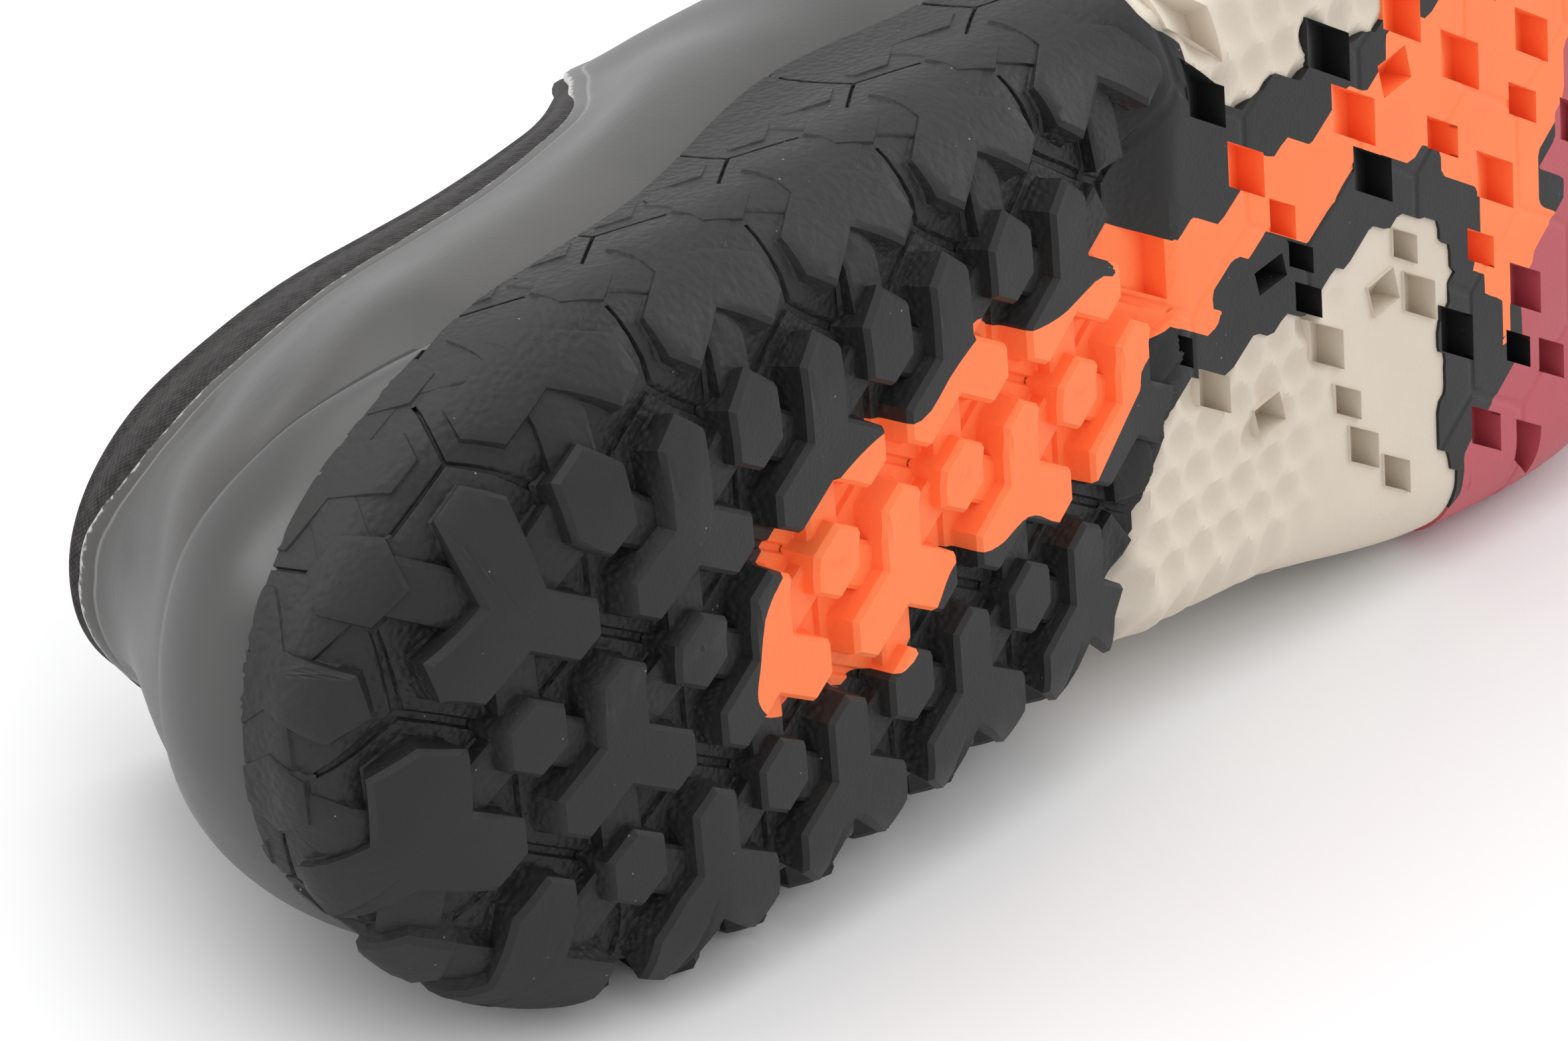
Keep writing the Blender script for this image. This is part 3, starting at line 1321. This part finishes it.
# Soft creases of the film, placed by hand: where each starts around the shoe, its span up the wall, how far
# it leans over that span, its half width and its depth in metres
CREASES = (
    ("share", "low", "high", "lean", "width", "depth"),
    (0.968, 0.20, 0.80, 0.006, 0.0070, 0.0004),
    (0.945, 0.15, 0.75, -0.008, 0.0080, -0.0004),
    (0.918, 0.20, 0.80, 0.010, 0.0075, 0.0004),
    (0.886, 0.10, 0.65, -0.006, 0.0090, -0.0003),
    (0.030, 0.35, 0.90, -0.006, 0.0045, 0.0006),
    (0.070, 0.25, 0.80, 0.008, 0.0050, -0.0006),
    (0.110, 0.30, 0.85, -0.010, 0.0050, 0.0007),
    (0.360, 0.20, 0.80, 0.030, 0.0035, 0.0010),
    (0.385, 0.25, 0.85, 0.034, 0.0035, 0.0009),
    (0.640, 0.20, 0.80, -0.030, 0.0035, 0.0010),
    (0.612, 0.25, 0.85, -0.034, 0.0035, 0.0009),
    (0.415, 0.45, 0.95, 0.020, 0.0030, 0.0007),
    (0.585, 0.45, 0.95, -0.020, 0.0030, 0.0007),
)
AROUND_LENGTH = 0.72          # metres around the upper


def creased(up):
    """Height of the creases at each place around for a share of the wall."""
    total = np.zeros(AROUND)
    for crease in by_name(CREASES):
        line = crease["share"] + crease["lean"] * (up - crease["low"])
        off = (np.mod(FINE - line + 0.5, 1.0) - 0.5) * AROUND_LENGTH
        middle = 0.5 * (crease["low"] + crease["high"])
        fade = ease(0.5 * (crease["high"] - crease["low"]) - np.abs(up - middle), 0.0, 0.12)
        total -= crease["depth"] * np.exp(-((off / crease["width"]) ** 2)) * fade
    return total


HOLE_REACH = 0.006            # reach of an eyelet's hole to both sides of the film

# The film's last rows: distance before its cut edge in millimetres and depth under its face in metres
FILM_END = (
    (4.0, 0.0), (3.7, 0.0), (3.4, 0.0001), (3.1, 0.0002), (2.8, 0.0001), (1.5, 0.0), (0.8, 0.0),
    (0.3, 0.0001), (0.0, 0.0004), (-0.1, 0.0011),
)


def eyelets():
    """Place on the wall and outward direction of each eyelet, by row and side."""
    found = {}
    for row in range(EYELET_ROWS):
        share = EYELET_FIRST + (EYELET_LAST - EYELET_FIRST) * row / (EYELET_ROWS - 1)
        for side, at_share in ((1, share), (-1, 1.0 - share)):
            here = np.array([at_share])
            found[row, side] = (wall(here, EYELET_SHARE)[0], wall_out(here, EYELET_SHARE)[0])
    return found


EYELETS = eyelets()


def build_upper():
    end = film_end(FINE)
    end = end + 0.004 * wavy(FINE, ((31, 0.5), (47, 0.3), (83, 0.2)), 0.4)
    length = np.linalg.norm(wall(FINE, end) - wall(FINE, end - 0.05), axis=1) / 0.05
    per_mm = 0.001 / length
    holes = list(EYELETS.values())

    def film_row(up, proud):
        return wall(FINE, up) + wall_out(FINE, up) * np.broadcast_to(proud, AROUND)[:, None]

    rows = [foot(FINE)]
    from_end = [np.full(AROUND, 99.0)]

    def add_film(up, proud):
        rows.append(film_row(up, proud))
        from_end.append((end - up) / per_mm)

    for share in np.linspace(0.0, 1.0, 36)[:-1]:
        up = share * (end - 4.2 * per_mm)
        ripple = 0.0004 * wavy(FINE, ((9, 0.5), (14, 0.4)), 9.0 * share) * math.sin(math.pi * share)
        add_film(up, ripple + creased(up))
    for off, sink in FILM_END:
        add_film(end - off * per_mm, -sink)
    piece = ring_grid("upper_film", rows, FILM_LOOK, {"from_end": np.concatenate(from_end)}, holes=holes)
    placed(piece, "upper")

    weave = []
    rows = []
    start = end - 2.0 * per_mm
    around_run = np.cumsum(np.linalg.norm(np.roll(wall(FINE, 1.0), -1, axis=0) - wall(FINE, 1.0), axis=1))

    def add(points, height):
        rows.append(points)
        weave.append(np.column_stack([around_run, np.broadcast_to(height, AROUND), np.zeros(AROUND)]))

    steps = 14
    for k in range(steps + 1):
        share = k / steps
        up = start + (1.0 - start) * share
        puff = 0.0012 * math.sin(math.pi * min(1.0, share * 1.1)) * ease(1.0 - end, 0.02, 0.10)
        add(film_row(up, -FILM + puff), (up - start) * length)
    top = wall(FINE, 1.0)
    out = wall_out(FINE, 1.0)
    centre = top - out * (FILM + 0.5 * WALL)
    up_way = top - wall(FINE, 0.96)
    up_way /= np.linalg.norm(up_way, axis=1, keepdims=True)
    past = (1.0 - start) * length
    for degrees in (25, 60, 90, 120, 155):
        t = math.radians(degrees)
        add(centre + 0.5 * WALL * (out * math.cos(t) + up_way * math.sin(t) * 0.8), past + 0.00002 * degrees)
    for share in np.linspace(1.0, 0.0, 26):
        up = share * np.ones(AROUND)
        add(film_row(up, -FILM - WALL), past + 0.004 + (1.0 - up) * length)
    add(foot(FINE, WALL + FILM), past + 0.012 + length)
    facts = {"weave": np.vstack(weave)}
    placed(ring_grid("upper_fabric", rows, FABRIC, facts, holes=holes))


build_upper()


# Heel cup
def share_at(share, height):
    """Share of the wall at each place around that lies at a height."""
    low = np.zeros(len(share))
    high = np.ones(len(share))
    for _ in range(26):
        middle = 0.5 * (low + high)
        below = wall(share, middle)[:, 2] < height
        low = np.where(below, middle, low)
        high = np.where(below, high, middle)
    return low


# Dark groove along the cup's edge: distance over the edge and lift off the film
CUP_SEAM = ((0.0008, -0.0003), (0.0010, 0.0002), (0.0014, 0.00035), (0.0018, 0.0002), (0.0020, -0.0003))


def grid_faces(rows, columns, closed=False):
    """Quads of a grid of points, row by row; closed joins each row's end to its start."""
    faces = []
    for k in range(rows - 1):
        for i in range(columns if closed else columns - 1):
            j = (i + 1) % columns
            faces.append((k * columns + i, k * columns + j, (k + 1) * columns + j, (k + 1) * columns + i))
    return faces


def build_heel_cup():
    reach = math.acos(1.0 - 2.0 * CUP_REACH) / (2.0 * math.pi)
    turn = np.linspace(-1.0, 1.0, 97)
    share = turn * reach
    bottom = rim_height(share) + CLEAR
    height = smooth(CUP, "height", np.abs(turn)) * SIDE_HEIGHT
    columns = []
    rows = 18
    for k in range(rows + 1):
        up = share_at(share, bottom + height * k / rows)
        surface = wall(share, up)
        out = wall_out(share, up)
        if k == 0:
            out[:, 2] = 0.0
            out /= np.linalg.norm(out, axis=1, keepdims=True)
        thin = 1.0 - CUP_THINNING * (k / rows) ** 2
        columns.append(surface + out * (CLEAR + CUP_WALL * thin))
    edge_up = share_at(share, bottom + height)
    surface, out = wall(share, edge_up), wall_out(share, edge_up)
    over = surface - wall(share, edge_up - 0.02)
    over /= np.linalg.norm(over, axis=1, keepdims=True)
    proud = (1.0 - CUP_THINNING) * CUP_WALL
    for degrees in (20, 45, 70, 90):
        t = math.radians(degrees)
        columns.append(surface + out * proud * math.cos(t) + over * 0.0010 * math.sin(t))
    columns.append(surface - out * 0.0004 + over * 0.0010)
    points = np.vstack(columns)
    count = len(share)
    faces = grid_faces(len(columns), count)
    placed(mesh_object("cup_gloss", points, faces, CUP_LOOK, None, 50.0), "heel_cup")
    lines = []
    for reach_over, lift in CUP_SEAM:
        lines.append(surface + over * reach_over + out * lift)
    faces = grid_faces(len(lines), count)
    placed(mesh_object("cup_groove", np.vstack(lines), faces, SEAM_LOOK))


build_heel_cup()


# Insole, tongue, eyelets and laces
def closed_piece(name, points, faces, material, node_name, facts=None, soften=0):
    """A closed mesh facing out, with its edges softened."""
    piece = mesh_object(name, points, faces, material, facts, 60.0)
    if soften:
        modifier = piece.modifiers.new("soften", "SUBSURF")
        modifier.levels = soften
        bpy.context.view_layer.update()
        seen = piece.evaluated_get(bpy.context.evaluated_depsgraph_get())
        smoother = bpy.data.meshes.new_from_object(seen)
        piece.modifiers.clear()
        piece.data = smoother
    bm = bmesh.new()
    bm.from_mesh(piece.data)
    bmesh.ops.recalc_face_normals(bm, faces=bm.faces[:])
    bm.to_mesh(piece.data)
    bm.free()
    return placed(piece, node_name)


# Half section of the insole's edge: distance in from its side and height over the footbed, in metres
INSOLE_SECTION = (
    (0.0020, 0.0),
    (0.0004, 0.0),
    (0.0, 0.0012),
    (0.0004, INSOLE - 0.0004),
    (0.0020, INSOLE),
    (0.0060, INSOLE - 0.0003),
    (0.0120, INSOLE - 0.0005),
)


def build_insole():
    """Cloth-topped insole with a rounded edge."""
    count = 112
    share = np.arange(count) / count
    inset = RIM + WALL + FILM + 3.0 * CLEAR
    rings = []
    for extra, lift in INSOLE_SECTION:
        plan = outline(share) + inward(share) * (inset + extra)
        rings.append(np.column_stack([plan, footbed(plan[:, 0]) + CLEAR + lift]))
    faces = grid_faces(len(rings), count, closed=True)
    half = count // 2
    for base in (0, (len(rings) - 1) * count):
        faces.append((base, base + 1, base + count - 1, base + count - 1))
        for i in range(1, half - 1):
            faces.append((base + i, base + i + 1, base + count - i - 1, base + count - i))
        faces.append((base + half - 1, base + half, base + half + 1, base + half + 1))
    points = np.vstack(rings)
    faces = [face[:3] if face[2] == face[3] else face for face in faces]
    weave = np.column_stack([points[:, 0], points[:, 1], np.zeros(len(points))])
    closed_piece("insole_cloth", points, faces, LINING, "insole", {"weave": weave})


def under_wall(share, up, depth):
    """Points below the upper's inside."""
    return wall(share, up) - wall_out(share, up) * (WALL + FILM + CLEAR + depth)


def tongue_sheet(depth):
    """Rows of points across the tongue, from its tip to its front edge under the vamp."""
    turn = np.arange(TONGUE_ROWS + 1) / TONGUE_ROWS
    inner_share = TONGUE_BACK + (TONGUE_FRONT - TONGUE_BACK) * turn
    outer_share = 1.0 - inner_share
    outer, outer_edge = under_wall(outer_share, TUCK, depth), under_wall(outer_share, 1.0, depth)
    inner, inner_edge = under_wall(inner_share, TUCK, depth), under_wall(inner_share, 1.0, depth)
    width = np.linalg.norm(inner_edge - outer_edge, axis=1)
    columns = [outer, 0.5 * (outer + outer_edge)]
    for step in range(TONGUE_STEPS + 1):
        across = step / TONGUE_STEPS
        point = outer_edge + (inner_edge - outer_edge) * across
        point[:, 2] += TONGUE_CROWN * 4.0 * across * (1.0 - across) * width * (1.0 - turn**2)
        columns.append(point)
    columns += [0.5 * (inner + inner_edge), inner]
    rows = np.stack(columns, axis=1)
    across = np.linspace(-1.0, 1.0, rows.shape[1])
    reach = 0.5 - TONGUE_FRONT - 0.009
    front = under_wall(0.5 - across * reach, TUCK - TUCK_FRONT * (1.0 - across**2), depth + TONGUE_GAP)
    middle = rows[0].mean(axis=0)
    tip = middle + (rows[0] - middle) * TIP_SHARE + np.array(TONGUE_TIP)
    return np.concatenate([tip[None], rows, front[None]])


def build_tongue():
    """Padded tongue: full in the middle, pressed flat along its edges and along two seams."""
    top = tongue_sheet(TONGUE_GAP)
    low = tongue_sheet(TONGUE_GAP + TONGUE)
    rows, columns = top.shape[:2]
    across = np.linspace(-1.0, 1.0, columns)
    full = 0.40 + 0.60 * np.sqrt(np.maximum(0.0, 1.0 - across**2))
    seams = np.exp(-(((np.abs(across) - 0.42) / 0.07) ** 2))
    low = top + (low - top) * full[None, :, None]
    top = top + (low - top) * (0.22 * seams)[None, :, None]
    points = np.vstack([top.reshape(-1, 3), low.reshape(-1, 3)])
    start = rows * columns
    faces = grid_faces(rows, columns)
    faces += [tuple(i + start for i in face) for face in faces]
    loop = list(range(columns))
    loop += [k * columns + columns - 1 for k in range(1, rows)]
    loop += [(rows - 1) * columns + i for i in range(columns - 2, -1, -1)]
    loop += [k * columns for k in range(rows - 2, 0, -1)]
    faces += [(a, b, b + start, a + start) for a, b in zip(loop, loop[1:] + loop[:1])]
    weave = np.column_stack([points[:, 0], points[:, 1], np.zeros(len(points))])
    closed_piece("tongue_padded", points, faces, FABRIC, "tongue", {"weave": weave}, 2)


# Half section of an eyelet: distance from its axis and height over the film, in metres
EYELET_SECTION = (
    (0.0040, -0.0007),
    (0.0039, 0.0002),
    (0.0034, 0.0006),
    (0.0024, 0.0006),
    (0.0019, 0.0001),
    (0.0019, -0.0032),
    (0.0024, -0.0037),
    (0.0036, -0.0037),
    (0.0040, -0.0031),
)


def build_eyelets():
    turns = np.arange(24) * math.radians(15)
    rows = []
    faces = []
    for place, axis in EYELETS.values():
        first = np.cross(axis, (1.0, 0.0, 0.0))
        first /= np.linalg.norm(first)
        second = np.cross(axis, first)
        ring = np.cos(turns)[:, None] * first + np.sin(turns)[:, None] * second
        start = len(rows) * len(turns)
        rows.extend(place + ring * radius + axis * height for radius, height in EYELET_SECTION)
        ring_faces = grid_faces(len(EYELET_SECTION), len(turns), closed=True)
        faces += [tuple(i + start for i in face) for face in ring_faces]
    placed(mesh_object("eyelet_rings", np.vstack(rows), faces, CUP_LOOK, None, 50.0))


LACE_SIDES = 10
LACE_STEPS = 40
LACE_DIP = 0.0065             # depth that each crossing goes down through its eyelet
LACE_OVER = 0.0009            # rise or fall of a crossing where two meet over the throat
LACE_SIDE = 0.0006            # width of one of its sides, for the weave
LACE_LIE = 0.0012             # height of its middle over the film
LACE_NECK = (0.0030, 0.0024)  # its width and thickness where it is gathered in an eyelet


def crossing(first, last, rise):
    """Rows of points along one crossing of the flat lace, down through an eyelet at each end."""
    (start, start_up), (end, end_up) = EYELETS[first], EYELETS[last]
    t = np.linspace(0.0, 1.0, LACE_STEPS)[:, None]
    up = start_up + (end_up - start_up) * t
    up /= np.linalg.norm(up, axis=1, keepdims=True)
    near = np.minimum(t, 1.0 - t)
    along = np.clip((t - 0.07) / 0.86, 0.0, 1.0)
    arch = LACE_ARCH * (1.0 - np.abs(2.0 * along - 1.0) ** 3)
    height = LACE_LIE + arch + rise * np.exp(-(((t - 0.5) / 0.16) ** 2))
    height = height - (LACE_DIP + LACE_LIE) * (1.0 - ease(near, 0.0, 0.075))
    centre = start + (end - start) * along + up * height
    run = np.gradient(centre, axis=0)
    run /= np.linalg.norm(run, axis=1, keepdims=True)
    broad = np.cross(up, end - start)
    broad /= np.linalg.norm(broad, axis=1, keepdims=True)
    face = np.cross(run, broad)
    face /= np.linalg.norm(face, axis=1, keepdims=True)
    spread = ease(near, 0.03, 0.14)
    half = 0.5 * (LACE_NECK[0] + (LACE_WIDTH - LACE_NECK[0]) * spread)
    thick = 0.5 * (LACE_NECK[1] + (LACE_THICK - LACE_NECK[1]) * spread)
    rows = []
    turns = 2.0 * np.pi * np.arange(LACE_SIDES) / LACE_SIDES
    for turn in turns:
        a = math.copysign(abs(math.cos(turn)) ** 0.6, math.cos(turn))
        b = math.copysign(abs(math.sin(turn)) ** 0.8, math.sin(turn))
        rows.append(centre + broad * half * a + face * thick * b)
    length = np.cumsum(np.linalg.norm(np.diff(centre, axis=0, prepend=centre[:1]), axis=1))
    still = np.zeros(LACE_STEPS)
    weave = [np.column_stack([length, still + LACE_SIDE * k, still]) for k in range(LACE_SIDES)]
    return np.stack(rows, axis=1).reshape(-1, 3), np.stack(weave, axis=1).reshape(-1, 3)


def build_laces():
    """The lace's crossings, each run down through its two eyelets."""
    pairs = [((0, 1), (0, -1), 0.0)]
    for row in range(EYELET_ROWS - 1):
        pairs.append(((row, 1), (row + 1, -1), LACE_OVER))
        pairs.append(((row, -1), (row + 1, 1), -LACE_OVER))
    points = []
    weave = []
    faces = []
    for first, last, rise in pairs:
        start = sum(len(p) for p in points)
        rows, where = crossing(first, last, rise)
        points.append(rows)
        weave.append(where)
        faces += [tuple(i + start for i in f) for f in grid_faces(LACE_STEPS, LACE_SIDES, closed=True)]
        last_row = start + (LACE_STEPS - 1) * LACE_SIDES
        faces.append(tuple(start + i for i in range(LACE_SIDES)))
        faces.append(tuple(last_row + i for i in range(LACE_SIDES)))
    facts = {"weave": np.vstack(weave)}
    placed(mesh_object("lace_flat", np.vstack(points), faces, LACE_LOOK, facts, 60.0), "laces")


build_insole()
build_tongue()
build_eyelets()
build_laces()


# Floor and light
def build_floor():
    mesh = bpy.data.meshes.new("floor")
    size = 4.0
    corners = [(-size, -size, 0), (size, -size, 0), (size, size, 0), (-size, size, 0)]
    mesh.from_pydata(corners, [], [(0, 1, 2, 3)])
    floor = bpy.data.objects.new("floor", mesh)
    bpy.context.collection.objects.link(floor)
    material, _, _ = new_material("floor", (0.78, 0.78, 0.785), 0.40)
    mesh.materials.append(material)


def area_light(name, place, aim, size, power):
    light = bpy.data.lights.new(name, "AREA")
    light.shape = "RECTANGLE"
    light.size, light.size_y = size
    light.energy = power
    lamp = bpy.data.objects.new(name, light)
    lamp.location = place
    lamp.rotation_euler = (Vector(aim) - Vector(place)).to_track_quat("-Z", "Y").to_euler()
    bpy.context.collection.objects.link(lamp)


build_floor()
world = bpy.data.worlds.new("world")
world.use_nodes = True
world.node_tree.nodes["Background"].inputs["Color"].default_value = (1.0, 1.0, 1.0, 1.0)
world.node_tree.nodes["Background"].inputs["Strength"].default_value = 0.95
bpy.context.scene.world = world
bpy.context.scene.view_settings.view_transform = "Standard"
area_light("top", (-0.15, 0.45, 1.15), (0.0, 0.0, 0.05), (1.5, 1.5), 11.0)
area_light("right", (1.1, -0.5, 0.7), (0.05, 0.0, 0.05), (0.7, 0.7), 3.5)
area_light("back_left", (-0.9, 0.6, 0.5), (-0.1, 0.0, 0.05), (0.5, 0.5), 3.0)


# Camera, found from the honeycomb's perspective in the photo; in the shoe's frame
CAMERA_PLACE = (-0.3803, -0.2828, -0.3514)
CAMERA_RIGHT = (0.59551, 0.073, -0.80003)
CAMERA_UP = (0.39207, -0.89562, 0.21012)
FOCAL_PIXELS = 9000.0
PHOTO_WIDTH = 2361.0
SENSOR = 36.0

camera_data = bpy.data.cameras.new("camera")
camera_data.sensor_fit = "HORIZONTAL"
camera_data.sensor_width = SENSOR
camera_data.lens = SENSOR * FOCAL_PIXELS / PHOTO_WIDTH
camera_data.clip_start = 0.01
camera = bpy.data.objects.new("camera", camera_data)
bpy.context.collection.objects.link(camera)
right = Vector(TURN @ np.array(CAMERA_RIGHT)).normalized()
upward = Vector(TURN @ np.array(CAMERA_UP)).normalized()
back = right.cross(upward).normalized()
upward = back.cross(right)
turn = Matrix((right, upward, back)).transposed().to_4x4()
camera.matrix_world = Matrix.Translation(Vector(to_world(CAMERA_PLACE))) @ turn
bpy.context.scene.camera = camera
